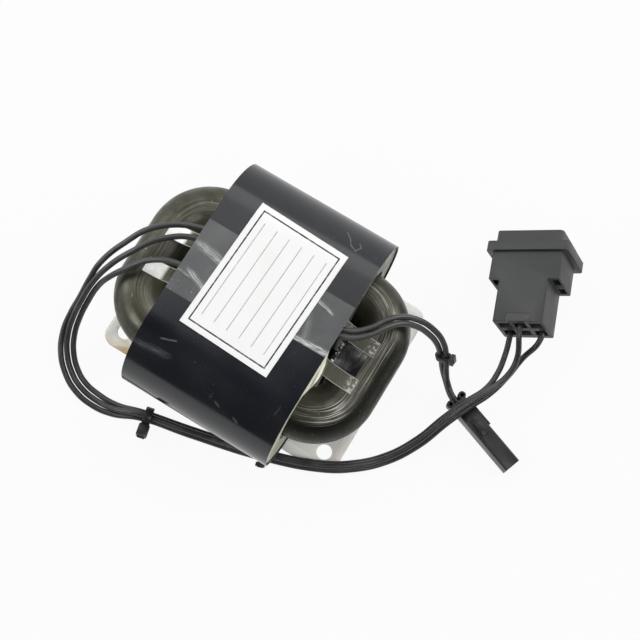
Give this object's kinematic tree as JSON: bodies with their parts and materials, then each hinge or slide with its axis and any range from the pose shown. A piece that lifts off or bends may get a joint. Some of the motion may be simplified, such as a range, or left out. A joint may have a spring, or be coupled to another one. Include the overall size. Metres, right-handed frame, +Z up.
{
  "type": "control transformer",
  "caption": "Small dry control transformer: two wrapped coils on a closed round-section strip core over a drilled base plate, with tied leads to a panel plug and a slim plug.",
  "frame": {"origin": "centre of the base plate's underside", "axes": "+X along the coils towards the slim plug's leads, +Y across the coils to the rear, +Z up from the mounting surface"},
  "size_m": [0.1408, 0.1192, 0.0388],
  "materials": {
    "core_steel": "varnished wound steel strip, olive grey",
    "former_plastic": "moulded cream plastic",
    "winding_wire": "enamelled copper wire",
    "insulation_film": "layered polyester film",
    "coil_tape": "polyester tape",
    "black_wrap": "glossy black sheet with fine scratches",
    "passivated_steel": "yellow passivated zinc",
    "bond_pad": "soft adhesive pad",
    "label": "white film label with a thin dark border",
    "clear_tape": "clear tape, wrinkled",
    "clear_film": "clear film",
    "black_tape": "black tape with a zigzag cut end",
    "lead_sheath": "black lead insulation",
    "tie_nylon": "black nylon",
    "grey_plastic": "dark grey moulded nylon",
    "retainer_plastic": "lighter grey moulded nylon",
    "contact_metal": "tin-flashed brass strip",
    "black_plastic": "black moulded plastic"
  },
  "bodies": {
    "root": {"core": "core_steel", "front_former_upper": "former_plastic", "front_former_lower": "former_plastic", "rear_former_upper": "former_plastic", "rear_former_lower": "former_plastic", "front_primary_winding": "winding_wire", "rear_primary_winding": "winding_wire", "front_layer_insulation": "insulation_film", "rear_layer_insulation": "insulation_film", "front_secondary_winding": "winding_wire", "rear_secondary_winding": "winding_wire", "front_coil_tape": "coil_tape", "rear_coil_tape": "coil_tape", "outer_wrap": "black_wrap", "base_plate": "passivated_steel", "bond_pad": "bond_pad", "rating_label": "label", "left_lead_tape": "clear_tape", "right_lead_tape": "clear_tape", "front_film_strip": "clear_film", "rear_film_strip": "clear_film", "exit_tape": "black_tape", "primary_lead_1": "lead_sheath", "primary_lead_2": "lead_sheath", "primary_lead_3": "lead_sheath", "secondary_lead_1": "lead_sheath", "secondary_lead_2": "lead_sheath", "loom_tie_1": "tie_nylon", "loom_tie_2": "tie_nylon", "secondary_tie": "tie_nylon", "main_plug_housing": "grey_plastic", "main_plug_retainer": "retainer_plastic", "main_plug_contact_1": "contact_metal", "main_plug_contact_2": "contact_metal", "main_plug_contact_3": "contact_metal", "small_plug_housing": "black_plastic", "small_plug_contact_1": "contact_metal", "small_plug_contact_2": "contact_metal"}
  },
  "joints": []
}
